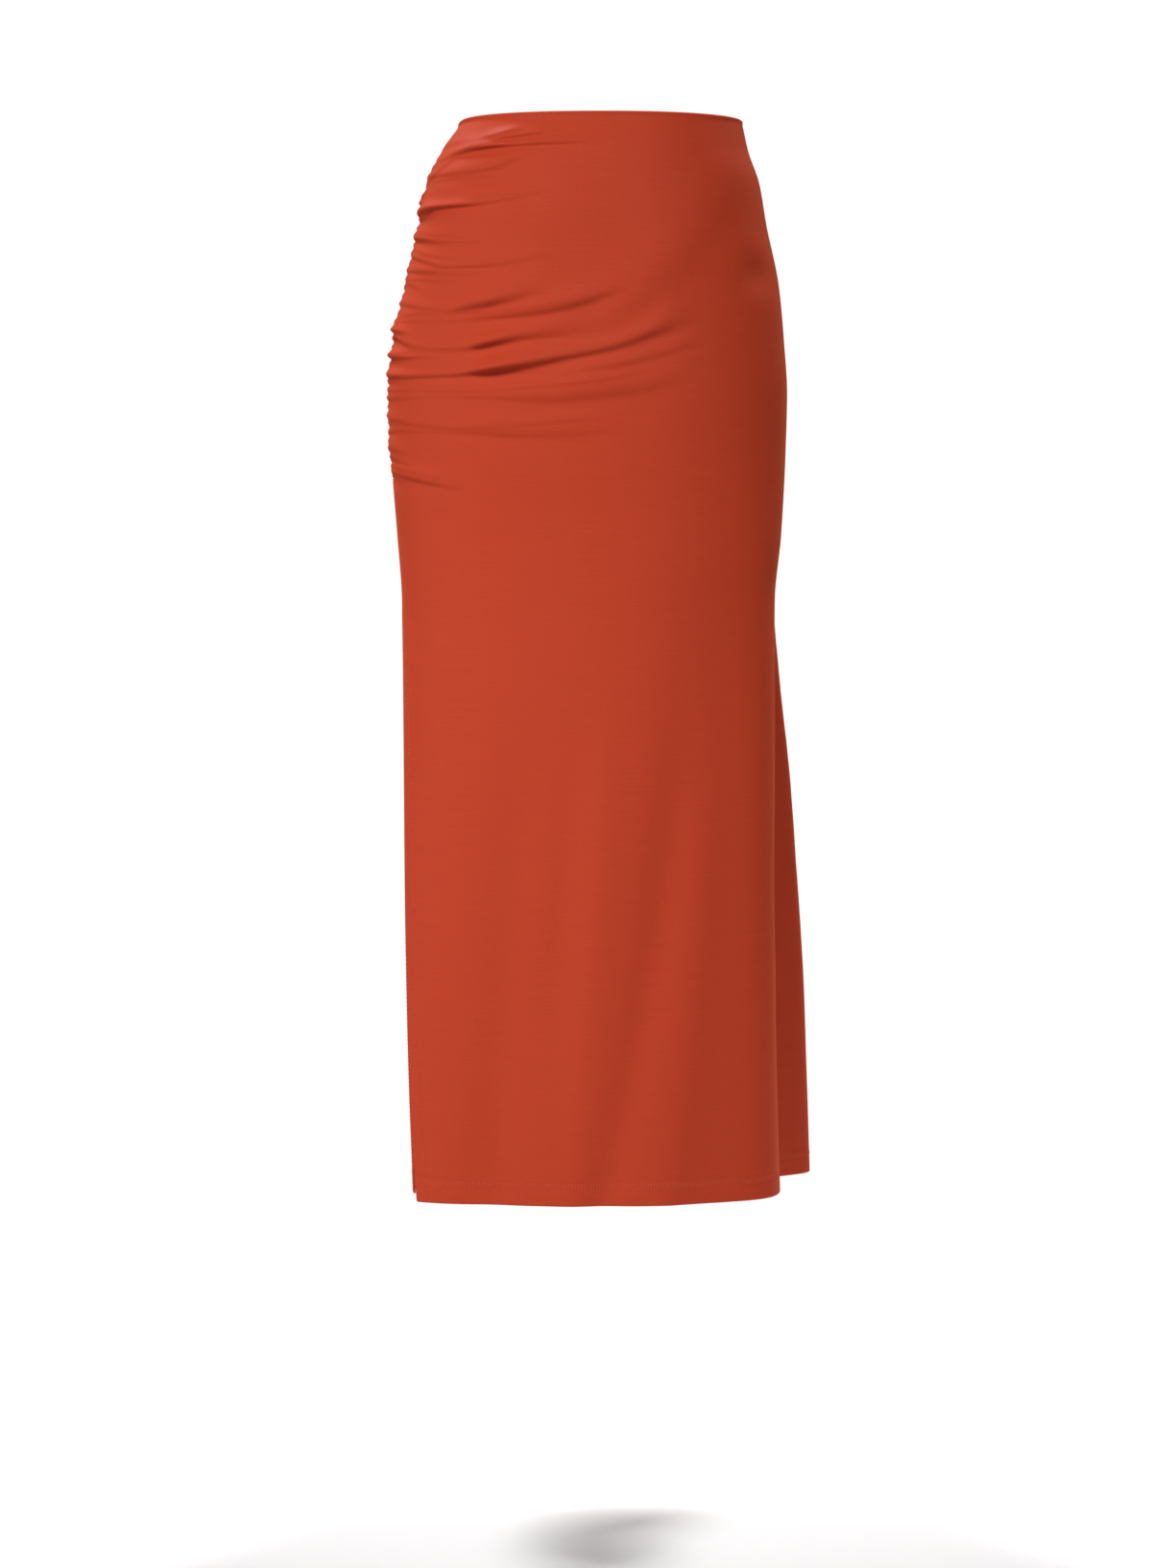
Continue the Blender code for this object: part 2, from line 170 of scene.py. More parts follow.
@dataclass(frozen=True)
class SkirtForm:
    """The plain form of the worn skirt, before its folds: one closed section at every level."""

    sections: LevelTable
    slit: LevelTable
    squareness: float = 2.2
    quarter_points: int = 90
    flute_points: int = 30
    step: float = 0.4

    def quarter(self, depth: Array, edge_x: Array, edge_y: Array, turn: Array) -> tuple[Array, Array]:
        """A quarter of a rounded section at each level.

        With power p = 2 / squareness and angle a from 0 to the turn, x = A sin(a)^p and
        y = C - B cos(a)^p. A, B and C make it start at (0, -depth) and end at (edge_x, edge_y).

        Args:
            depth: Distance of the middle, (n, 1).
            edge_x: Place of the edge, (n, 1).
            edge_y: Place of the edge, (n, 1).
            turn: Angle turned at the edge, in degrees, (n, 1).

        Returns:
            x and y, each (n, quarter_points).
        """
        power = 2 / self.squareness
        end = np.radians(turn)
        angle = end * np.linspace(0, 1, self.quarter_points)[None, :]
        sine, cosine = signed_power(np.sin(end), power), signed_power(np.cos(end), power)
        centre = (edge_y + depth * cosine) / (1 - cosine)
        x = edge_x / sine * signed_power(np.sin(angle), power)
        y = centre - (depth + centre) * signed_power(np.cos(angle), power)
        return x, y

    def outline(self, side: Side, level: Array) -> tuple[Array, Array, Array]:
        """The section of one piece at each level, from the ruched side to the plain seam.

        Two quarters are joined by a half cosine wave, which runs from the flute's turn to its valley.

        Args:
            side: The cut piece.
            level: Levels, (n,).

        Returns:
            x, y and the length of cloth so far, each (n, k).
        """
        form, slit, facing = self.sections.at(level), self.slit.at(level), side.value
        open_here = (level < SLIT_TOP)[:, None]
        if side is Side.FRONT:
            middle, turn, turn_y = form["front"], form["fold"], form["fold_y"]
        else:
            middle, turn, turn_y = form["back"], form["flare"], -form["flare_y"]
        edge_x = np.where(open_here, slit[side.word + "_x"], form["left"])
        edge_y = -facing * np.where(open_here, slit[side.word + "_y"], form["side"])
        edge_turn = np.where(open_here, slit[side.word + "_turn"], SQUARE_ON)
        left_x, left_y = self.quarter(middle, -edge_x, edge_y, edge_turn)
        right_x, right_y = self.quarter(middle, turn, turn_y, np.full_like(turn, SQUARE_ON))
        along = np.linspace(0, 1, self.flute_points)[None, 1:]
        flute_x = turn + (form["valley"] - turn) * (1 - np.cos(math.pi * along)) / 2
        flute_y = turn_y + (-facing * form["valley_y"] - turn_y) * along
        x = np.concatenate([left_x[:, ::-1], right_x[:, 1:], flute_x], axis=1)
        y = -facing * np.concatenate([left_y[:, ::-1], right_y[:, 1:], flute_y], axis=1)
        steps = np.hypot(np.diff(x, axis=1), np.diff(y, axis=1))
        length = np.concatenate([np.zeros((len(x), 1)), np.cumsum(steps, axis=1)], axis=1)
        return x, y, length

    def place(self, side: Side, level: Array, absolute: Array, shares: Array) -> dict[str, Array]:
        """Points of the plain form on a grid of levels and reaches.

        The reach is the length of cloth from the ruched side. The first columns keep a reach of their
        own, and the others share out what is left. The way out is the section's tangent, turned.

        Args:
            side: The cut piece.
            level: Levels, (n,).
            absolute: Reaches of the first columns.
            shares: Shares of the rest, up to 1.

        Returns:
            Arrays (n, columns) for x, y, out_x, out_y, reach and left, the cloth left to the plain seam.
        """
        x, y, length = self.outline(side, level)
        whole = length[:, -1:]
        rest = absolute[-1] + shares[None, :] * (whole - absolute[-1])
        reach = np.concatenate([np.repeat(absolute[None, :], len(level), axis=0), rest], axis=1)

        def read(values: Array, at: Array) -> Array:
            """Each level's values at its own reaches."""
            return np.stack([np.interp(a, run, v) for a, run, v in zip(at, length, values)])

        ahead, behind = np.minimum(reach + self.step, whole), np.maximum(reach - self.step, 0)
        along_x, along_y = read(x, ahead) - read(x, behind), read(y, ahead) - read(y, behind)
        size = np.hypot(along_x, along_y)
        return {"x": read(x, reach), "y": read(y, reach), "out_x": -side.value * along_y / size,
                "out_y": side.value * along_x / size, "reach": reach, "left": whole - reach}


@dataclass(frozen=True)
class Crease:
    """A drag line from the ruched seam: the cloth above it hangs over a narrow fall into a groove.

    Each row has x and z on the line, the fall's height there and its width. The width holds tanh(0.88),
    or 71%, of the height.
    """

    rows: tuple[tuple[float, float, float, float], ...]
    sharp: float = 0.5
    spread: float = 3.0
    held: float = 0.88
    end_fade: float = 10.0

    def height(self, x: Array, z: Array) -> Array:
        """h = A tanh(d / w) exp(-(d / s)^2), d being the height above the line and s = spread * width.

        Below the line A and w are smaller by the factor sharp, so the fall ends more suddenly than it
        starts. Together both parts of A make the row's height. Past its last row the line fades out.
        """
        rows = np.array(self.rows, float)
        line, drop, width = np.moveaxis(smooth_curve(x, rows), -1, 0)
        above = z - line
        part = np.where(above > 0, 1.0, self.sharp)
        wide = part * width / (self.held * (1 + self.sharp))
        fade = smooth_step(1 - (x - rows[-1, 0]) / self.end_fade)
        size = part * drop / (1 + self.sharp) * fade
        return size * np.tanh(above / wide) * bell(above, self.spread * width)


@dataclass(frozen=True)
class Hang:
    """A long soft fold of the lower part. A groove has a negative rise."""

    top: Pair
    middle: Pair
    low: Pair
    rise: float
    width: float
    ease_in: float = 0.45
    ease_out: float = 0.4

    def height(self, x: Array, z: Array) -> Array:
        """Bell across a parabola x(z), eased in, and eased out if it ends above the hem."""
        points = tuple((p[1], p[0]) for p in (self.top, self.middle, self.low))
        along = (self.top[1] - z) / (self.top[1] - self.low[1])
        fade = smooth_step(along / self.ease_in)
        if self.low[1] > HEM:
            fade = fade * smooth_step((1 - along) / self.ease_out)
        return self.rise * fade * bell(x - parabola(z, points), self.width)


@dataclass(frozen=True)
class Swell:
    """A broad swell, or a hollow where its rise is negative."""

    centre: Pair
    half_width: float
    half_height: float
    rise: float

    def height(self, x: Array, z: Array) -> Array:
        """Product of a bell across and a bell up."""
        across, up = bell(x - self.centre[0], self.half_width), bell(z - self.centre[1], self.half_height)
        return self.rise * across * up


@dataclass(frozen=True)
class SlowWave:
    """One slow wave of worn cloth, by the distances over which its angle grows by 1."""

    rise: float
    along: float
    down: float
    start: float

    def height(self, reach: Array, z: Array, turn: float) -> Array:
        """rise * sin(reach / along + z / down + start + turn)."""
        return self.rise * np.sin(reach / self.along + z / self.down + self.start + turn)


@dataclass(frozen=True)
class RuchedSeam:
    """The gathers of the ruched seam and the short tucks between them.

    They are uneven in pitch, length and strength. Sines of their number stand in for chance.
    """

    top: float = -12.0
    bottom: float = -292.0
    pitch: float = 6.9
    pitch_change: float = 0.22
    spare: int = 8
    rise: float = 0.75
    rise_change: float = 0.25
    rise_fade: float = 40.0
    reach: float = 15.0
    nip: float = 0.3
    nip_pitch: float = 2.7
    nip_reach: float = 3.5
    past_top: float = 8.0
    end_fade: float = 12.0
    tuck: float = 0.42
    tuck_width: float = 1.5
    tuck_run: float = 13.0
    tuck_run_change: float = 9.0
    long_tuck: float = 22.0
    tuck_slope: float = 0.10
    tuck_slope_change: float = 0.22

    def crests(self) -> tuple[Array, Array]:
        """Levels of crests and grooves in turn, and their heights."""
        count = np.arange(int(2 * (self.top - self.bottom) / self.pitch) + self.spare)
        steps = self.pitch / 2 * (1 + self.pitch_change * np.sin(2.4 * count))
        level = self.top - np.concatenate([[0], np.cumsum(steps)[:-1]])
        keep = level > self.bottom
        level, count = level[keep], count[keep]
        inside = np.minimum(level - self.bottom, self.rise_fade / 2 + self.top - level)
        fade = np.minimum(inside / self.rise_fade, 1)
        strength = 1 - self.rise_change * (1 - np.sin(1.7 * count))
        return level, np.where(count % 2 == 0, 1, -1) * self.rise * fade * strength

    def height(self, z: Array, reach: Array) -> Array:
        """Rounded wave through the crests, its finer nips, and one short tuck in each groove.

        The wave eases from crest to groove on a smooth step. Each tuck is a narrow bell round a line
        that leaves the seam at its own slope, and fades over its own length.
        """
        level, rise = self.crests()
        order = np.clip(np.searchsorted(-level, -z.ravel()) - 1, 0, len(level) - 2)
        share = smooth_step((level[order] - z.ravel()) / (level[order] - level[order + 1]))
        wave = (rise[order] + (rise[order + 1] - rise[order]) * share).reshape(z.shape)
        above, below = self.top + self.past_top - z, z - self.bottom
        inside = smooth_step(below / self.end_fade) * smooth_step(above / self.end_fade)
        nips = self.nip * np.sin(2 * math.pi * z / self.nip_pitch + 1.3 * np.sin(z / 9.0))
        total = inside * (wave * bell(reach, self.reach) + nips * bell(reach, self.nip_reach))
        for number, groove in enumerate(level[1::2]):
            run = self.tuck_run + self.tuck_run_change * math.sin(2.1 * number)
            if number % 5 == 2:
                run += self.long_tuck
            slope = self.tuck_slope + self.tuck_slope_change * math.sin(1.3 * number + 0.6)
            fade = np.clip(1 - reach / run, 0, 1) ** 1.2
            total = total - inside * self.tuck * fade * bell(z - groove - slope * reach, self.tuck_width)
        return total


@dataclass(frozen=True)
class Turning:
    """An edge folded to the inside, and stitched down in rows where it has them."""

    depth: float
    rows: tuple[float, ...] = ()
    raised: float = 0.22
    ease: float = 1.5
    groove: float = 0.28
    groove_width: float = 0.75

    def double(self, inside: Array) -> Array:
        """1 on the double cloth and 0 past it, by the distance from the edge."""
        return smooth_step((self.depth - inside) / self.ease + 0.5)

    def height(self, inside: Array) -> Array:
        """Raised double cloth, with a groove under each row of stitches."""
        total = self.raised * self.double(inside)
        for row in self.rows:
            total = total - self.groove * bell(inside - row, self.groove_width)
        return total


@dataclass(frozen=True)
class Pattern:
    """What one cut piece is made to: its folds and the size of its flat cut, in metres."""

    side: Side
    node: str
    creases: tuple[Crease, ...]
    hangs: tuple[Hang, ...]
    swells: tuple[Swell, ...]
    flat: Pair
    area: float


SECTIONS = LevelTable(
    ("level", "left", "side", "front", "back",
     "fold", "fold_y", "valley", "valley_y", "flare", "flare_y"),
    (
        (0, 116.0, 0, 86, 90, 114.5, 0, 114.5, 0, 114.5, 0),
        (-20, 129.5, 0, 93, 95, 119.0, 0, 119.0, 0, 119.0, 0),
        (-46, 141.5, 0, 99, 101, 128.0, 0, 128.0, 0, 128.0, 0),
        (-80, 148.5, -1, 105, 109, 134.0, 0, 134.0, 0, 134.0, 0),
        (-128, 159.0, -3, 109, 120, 144.0, 0, 144.0, 0, 144.0, 0),
        (-175, 169.0, -6, 110, 127, 148.5, 0, 148.5, 0, 148.5, 0),
        (-215, 173.0, -9, 110, 130, 151.0, 0, 151.0, 0, 151.0, 0),
        (-270, 170.0, -13, 108, 130, 149.5, -2, 149.5, 0, 149.5, 2),
        (-330, 165.0, -18, 106, 125, 145.5, -8, 145.0, 0, 145.5, 8),
        (-383, 161.0, -25, 106, 121, 138.5, -16, 137.5, 0, 141.5, 17),
        (-440, 160.0, -30, 108, 119, 136.8, -25, 133.8, 1, 146.5, 28),
        (-530, 159.0, -38, 113, 120, 135.3, -34, 130.0, 3, 156.3, 42),
        (-625, 158.5, -46, 118, 124, 135.0, -41, 128.0, 5, 164.0, 52),
        (-715, 157.0, -53, 123, 130, 135.6, -45, 127.0, 7, 169.2, 58),
        (-790, 155.5, -58, 128, 135, 137.6, -47, 127.0, 8, 172.3, 62),
        (-859, 153.5, -62, 132, 140, 139.4, -48, 127.5, 9, 174.0, 65),
    ),
)
SLIT = LevelTable(
    ("level", "front_x", "front_y", "front_turn", "back_x", "back_y", "back_turn"),
    (
        (-383, 161.0, -25, 90, 161.0, -25, 90),
        (-440, 159.3, -43, 84, 160.0, -31, 91),
        (-530, 157.6, -60, 77, 159.0, -40, 93),
        (-625, 156.3, -76, 72, 158.0, -48, 95),
        (-715, 154.5, -89, 68, 156.0, -54, 97),
        (-790, 152.0, -99, 65, 153.7, -59, 99),
        (-859, 146.5, -106, 63, 150.8, -62, 100),
    ),
)

FRONT = Pattern(
    side=Side.FRONT,
    node="front_panel",
    creases=(
        Crease(((-96, -17.5, 0.6, 2), (-85, -15.5, 3, 2), (-73, -13, 4, 2), (-61, -10.5, 1, 2))),
        Crease(((-90, -20, 0.4, 2), (-76, -17.4, 4.4, 2), (-60, -15.6, 4, 2.1), (-45, -14.6, 1.8, 2.2),
                (-30, -14.2, 0.2, 2.4))),
        Crease(((-135, -36, 0.5, 2.4), (-118, -28.5, 2.2, 2.4), (-100, -25, 6.4, 2.5),
                (-84, -24, 6.6, 2.6), (-70, -23.6, 4.4, 2.6), (-35, -22.5, 2.4, 2.4),
                (-2, -22, 0.3, 2.4))),
        Crease(((-138, -46, 1.01, 2), (-124, -36, 1.51, 2.4), (-112, -28, 0.67, 2.4))),
        Crease(((-131, -44, 1.25, 2.5), (-107, -44, 2.5, 3.5), (-86, -42, 3.74, 4.5),
                (-69, -36, 2.91, 4.5), (-50, -29, 0.42, 4))),
        Crease(((-104, -48, 0.58, 1.8), (-92, -48, 1.34, 1.8), (-76, -48, 0.38, 1.8))),
        Crease(((-112, -65.5, 0.3, 2.2), (-87, -64, 1.2, 2.4), (-55, -62, 0.4, 2.4))),
        Crease(((-148, -73, 4.5, 2.6), (-139, -71, 6.4, 2.3), (-131, -70.2, 5.2, 1.8),
                (-108, -70.2, 4.6, 1.7), (-95, -69.5, 2, 1.8), (-62, -65, 1, 2), (-42, -61, 0.3, 2))),
        Crease(((-149, -79, 2.6, 2.2), (-143, -75, 2.6, 2.2), (-134, -70, 0.5, 2))),
        Crease(((-153, -87, 0.85, 2.2), (-131, -92.5, 0.85, 2.2), (-105, -95, 0.26, 2.2))),
        Crease(((-153, -92, 4, 2.6), (-143, -95, 3.3, 2.4), (-131, -98, 1.65, 2.4),
                (-103, -100, 0.83, 2.4))),
        Crease(((-155, -99, 1.02, 2.2), (-139, -108, 1.02, 2.2), (-120, -112.5, 0.85, 2.4),
                (-100, -114, 0.17, 2.4))),
        Crease(((-155, -106, 2.2, 2.6), (-139, -114, 1.7, 2.4), (-123, -119, 2.2, 2.4),
                (-97, -119.5, 1.8, 2.8), (-46, -113, 0.5, 3))),
        Crease(((-157, -119, 1.8, 3.2), (-135, -122.5, 2, 2.6), (-115, -125, 1.6, 2.4),
                (-95, -126.5, 0.5, 2.6))),
        Crease(((-157, -125.5, 0.68, 2), (-135, -129, 0.85, 2), (-100, -131, 0.26, 2))),
        Crease(((-157, -129, 1.7, 3.6), (-151, -132, 1.53, 3.4), (-144, -136, 0.17, 3))),
        Crease(((-166, -144, 1.7, 3), (-143, -150.5, 1.02, 2.4), (-126, -153.5, 0.85, 2.4),
                (-112, -154.5, 1.53, 4), (-95, -155.5, 0.34, 4))),
        Crease(((-118, -154.5, 0.4, 3), (-104, -152, 5.4, 4.2), (-88, -150, 8.6, 5.2),
                (-73, -147, 6.4, 6), (-58, -143, 3.2, 6), (-40, -139.5, 0.2, 6)), sharp=0.35),
        Crease(((-104, -156, 0.42, 1.9), (-74, -154.5, 0.59, 1.9), (-45, -151, 0.85, 1.9),
                (-18, -144, 0.17, 1.9))),
        Crease(((-161, -160, 0.7, 2.2), (-120, -162, 0.7, 2.4), (-100, -161, 2.4, 4),
                (-55, -157.5, 5.4, 4.6), (-17, -150, 4.9, 4.8), (2, -143.5, 2.6, 4.4),
                (16, -138.5, 0.4, 4))),
        Crease(((-168, -166, 4.16, 3.4), (-162, -168, 3.12, 3), (-154, -171.5, 0.26, 2.6))),
        Crease(((-168, -171, 4.8, 3.6), (-158, -178, 2.4, 3), (-148, -181.5, 1.68, 2.6),
                (-125, -184, 1.08, 2.6), (-108, -184.5, 0.72, 2.8))),
        Crease(((-112, -185, 0.4, 2.4), (-104, -184, 2.2, 2.6), (-96, -183, 8.8, 3.2),
                (-85, -181, 9, 3.8), (-61, -176.5, 5.2, 5.2), (-40, -174.5, 4.4, 7),
                (-18, -172.5, 2.2, 9), (12, -171, 0.2, 10)), sharp=0.35),
        Crease(((-82, -185.5, 0.5, 2.2), (-29, -185.5, 0.7, 2.6), (12, -179.5, 0.3, 2.8),
                (34, -172, 0.2, 2.4))),
        Crease(((-173, -187.5, 6, 2.8), (-163, -189, 4.6, 2.4), (-154, -190, 2.8, 2.2),
                (-140, -190, 1.2, 2.2), (-128, -190.5, 0.3, 2.2))),
        Crease(((-160, -196, 0.48, 4), (-134, -198, 0.8, 4.5), (-91, -196, 0.24, 4.5))),
        Crease(((-173, -203.5, 4, 2.2), (-150, -205.5, 3, 2), (-120, -205.5, 2.2, 2),
                (-108, -204.5, 3.2, 2.4), (-96, -203.5, 9.4, 3), (-85, -202.5, 13.4, 3.6),
                (-61, -199, 10.6, 4.4), (-29, -192.6, 6.8, 4), (2, -186.6, 5, 3.4),
                (18, -182.2, 5.2, 3.7), (41, -173.8, 6, 5.4), (63, -165.6, 2.6, 8),
                (78, -160, 0.4, 8)), sharp=0.4),
        Crease(((-29, -204, 1, 4.5), (19, -197, 2.7, 4.5), (66, -184, 1.4, 4.5),
                (80, -180, 0.3, 4.5))),
        Crease(((-170, -215, 0.85, 2.4), (-111, -217.5, 0.85, 2.4), (-36, -214, 1.19, 2.6),
                (12, -208, 0.85, 2.6), (47, -200, 0.26, 2.6))),
        Crease(((-168, -222, 1.28, 2.8), (-146, -222, 0.48, 2.4), (-103, -222.5, 1.28, 3.4),
                (-74, -224, 2.4, 5), (-43, -225.5, 3.8, 7), (-9, -222.5, 4.8, 8.5),
                (29, -218, 3.2, 8.5), (67, -209, 0.7, 8))),
        Crease(((-168, -239, 1.87, 3), (-146, -244, 1.19, 2.5), (-110, -247.5, 1.19, 2.6),
                (-73, -246, 1.19, 4), (-29, -242, 1.02, 2.8), (-5, -240.5, 0.26, 2.6))),
        Crease(((-168, -248, 1.2, 3), (-131, -249.5, 0.6, 2.6), (-97, -251, 1.7, 3.4),
                (-60, -253.5, 2.4, 5), (-20, -252, 2.2, 7), (15, -250, 0.3, 7))),
        Crease(((-169, -262, 2.88, 4.4), (-163, -264.5, 1.92, 4), (-153, -267, 0.24, 3))),
        Crease(((-168, -269, 2.88, 3.6), (-160, -272.5, 2.16, 3.4), (-148, -276.5, 0.24, 3))),
        Crease(((-169, -275, 1.43, 2.6), (-151, -281, 1.84, 2.6), (-137, -284.5, 1.02, 2.4),
                (-115, -289.5, 0.2, 2.4))),
        Crease(((-169, -281, 3.86, 3), (-151, -286.5, 4.91, 2.8), (-137, -290, 3.16, 2.8),
                (-118, -294, 1.05, 2.8))),
        Crease(((-5, -172, 0.5, 28), (40, -146, 5.2, 44), (84, -98, 4.2, 50),
                (112, -60, 0.4, 44)), spread=1.0, sharp=0.7),
    ),
    hangs=(
        Hang((-58, -430), (-68, -600), (-88, -859), -4.2, 23),
        Hang((-22, -460), (-32, -640), (-46, -800), -2.2, 16),
        Hang((4, -430), (-4, -620), (-22, -859), 2.2, 17),
        Hang((64, -430), (46, -632), (2, -859), -3.2, 17),
        Hang((92, -480), (78, -655), (54, -859), 2, 16),
        Hang((76, -300), (80, -560), (80, -859), -3.5, 38),
        Hang((129, -250), (131, -560), (133, -859), 5.5, 20),
        Hang((-158, -384), (-154, -395), (-148, -410), -0.7, 1.6),
    ),
    swells=(
        Swell((-48, -62), 52, 36, 3),
        Swell((124, -124), 15, 15, -3),
    ),
    flat=(0.445, 0.895),
    area=0.355,
)
BACK = Pattern(
    side=Side.BACK,
    node="back_panel",
    creases=(
        Crease(((-120, -24, 0.84, 2.4), (-90, -20, 3.08, 2.8), (-40, -18, 1.12, 2.6),
                (-10, -18, 0.28, 2.6))),
        Crease(((-138, -44, 1.68, 2.4), (-112, -38, 3.64, 3), (-70, -34, 2.24, 3.4),
                (-25, -32, 0.42, 3))),
        Crease(((-146, -58, 0.85, 2.2), (-128, -57, 0.85, 2.2), (-105, -55, 0.17, 2.2))),
        Crease(((-146, -64, 7.2, 3.6), (-132, -62, 3.3, 2.2), (-100, -60, 2.4, 2.2),
                (-60, -57, 0.6, 2.4))),
        Crease(((-150, -84, 2.38, 3), (-128, -88, 1.02, 2.6), (-84, -86, 2.04, 4.2),
                (-30, -76, 0.51, 4))),
        Crease(((-154, -104, 1.36, 2.4), (-130, -109, 1.02, 2.2), (-96, -112, 0.34, 2.4))),
        Crease(((-157, -112, 1.02, 2.2), (-138, -118, 0.85, 2.2), (-110, -121, 0.17, 2.2))),
        Crease(((-157, -118, 3.06, 3.2), (-140, -124, 1.53, 2.6), (-100, -127, 1.19, 3),
                (-52, -120, 0.34, 3))),
        Crease(((-161, -138, 1.53, 2.6), (-146, -145, 1.19, 2.4), (-116, -149, 0.34, 2.4))),
        Crease(((-163, -150, 1.2, 3), (-110, -158, 1.4, 2.6), (-70, -160, 4.4, 5), (-20, -150, 2.8, 7),
                (14, -140, 0.4, 7)), sharp=0.35),
        Crease(((-167, -172, 4.08, 3.4), (-150, -179, 1.7, 2.4), (-122, -183, 0.68, 2.4))),
        Crease(((-124, -190, 0.72, 2.6), (-108, -189, 5.28, 3), (-80, -185, 6, 4.6),
                (-30, -175, 2.4, 7), (0, -170, 0.24, 7)), sharp=0.35),
        Crease(((-172, -200, 4.14, 2.4), (-140, -206, 2.53, 2.2), (-105, -209, 5.06, 3),
                (-60, -207, 8.28, 4.8), (-10, -197, 6.44, 5.2), (40, -182, 3.22, 6.4),
                (70, -172, 0.46, 7)), sharp=0.4),
        Crease(((-172, -222, 1.02, 2.4), (-110, -227, 0.85, 2.6), (-40, -223, 1.36, 3.2),
                (20, -212, 0.34, 3))),
        Crease(((-170, -234, 1.8, 3), (-130, -239, 0.75, 2.8), (-70, -242, 2.4, 6.5),
                (-10, -236, 2.25, 8), (40, -226, 0.3, 8))),
        Crease(((-168, -252, 2.72, 3.4), (-150, -256, 1.36, 2.6), (-110, -260, 0.51, 2.6))),
        Crease(((-167, -262, 0.8, 2.6), (-110, -272, 1.44, 4), (-60, -273, 1.28, 5),
                (-15, -268, 0.16, 5))),
        Crease(((-166, -271, 1.19, 2.6), (-146, -279, 1.19, 2.4), (-120, -285, 0.17, 2.4))),
        Crease(((-166, -277, 2.21, 3), (-146, -285, 2.04, 2.8), (-116, -291, 0.51, 2.8))),
    ),
    hangs=(
        Hang((-68, -420), (-84, -640), (-96, -859), -4.2, 20),
        Hang((-8, -450), (-12, -650), (-24, -859), 3.6, 22),
        Hang((42, -430), (48, -640), (58, -859), -4.8, 20),
        Hang((104, -470), (110, -650), (118, -859), 3.2, 19),
    ),
    swells=(
        Swell((-20, -75), 60, 34, -2.6),
        Swell((70, -150), 55, 60, 2.4),
    ),
    flat=(0.60, 0.895),
    area=0.44,
)
# The last two make up 0.16 sin(reach / 17 + 2) sin(z / 52 + 0.7).
SLOW_WAVES = (
    SlowWave(0.30, 31, 83, 0.0),
    SlowWave(0.24, -64, 27, 1.1),
    SlowWave(0.08, 17, -52, 1.3 + math.pi / 2),
    SlowWave(-0.08, 17, 52, 2.7 + math.pi / 2),
)


@dataclass(frozen=True)
class Grid:
    """Where a panel's points lie: close together at the seam's gathers and at its stitched edges."""

    seam_step: float = 1.0
    seam_count: int = 12
    growing_steps: tuple[float, ...] = (1.4, 1.8, 2.2, 2.6, 3.0, 3.4)
    rest_count: int = 98
    edge_levels: tuple[float, ...] = (3.0, 2.2, 1.2, 0.0, -1.5, -3.2, -5.0)
    gather_step: float = 0.9
    gathers_to: float = -297.0
    plain_step: float = 8.0
    hem_from: float = -836.0
    hem_step: float = 1.15

    def reaches(self) -> Array:
        """Reaches of the columns that keep their own distance from the ruched side."""
        even = np.arange(self.seam_count + 1) * self.seam_step
        return np.concatenate([even, even[-1] + np.cumsum(self.growing_steps)])

    def shares(self) -> Array:
        """Shares of the remaining cloth, one for each further column."""
        return np.arange(1, self.rest_count + 1) / self.rest_count

    def levels(self) -> Array:
        """Levels of the rows, from the waist down."""
        top = self.edge_levels[-1]
        gathers = np.linspace(top, self.gathers_to, round((top - self.gathers_to) / self.gather_step) + 1)
        run = self.gathers_to - self.hem_from
        plain = np.linspace(self.gathers_to, self.hem_from, round(run / self.plain_step) + 1)
        hem = np.linspace(self.hem_from, HEM, round((self.hem_from - HEM) / self.hem_step) + 1)
        return np.concatenate([self.edge_levels, gathers[1:], plain[1:], hem[1:]])


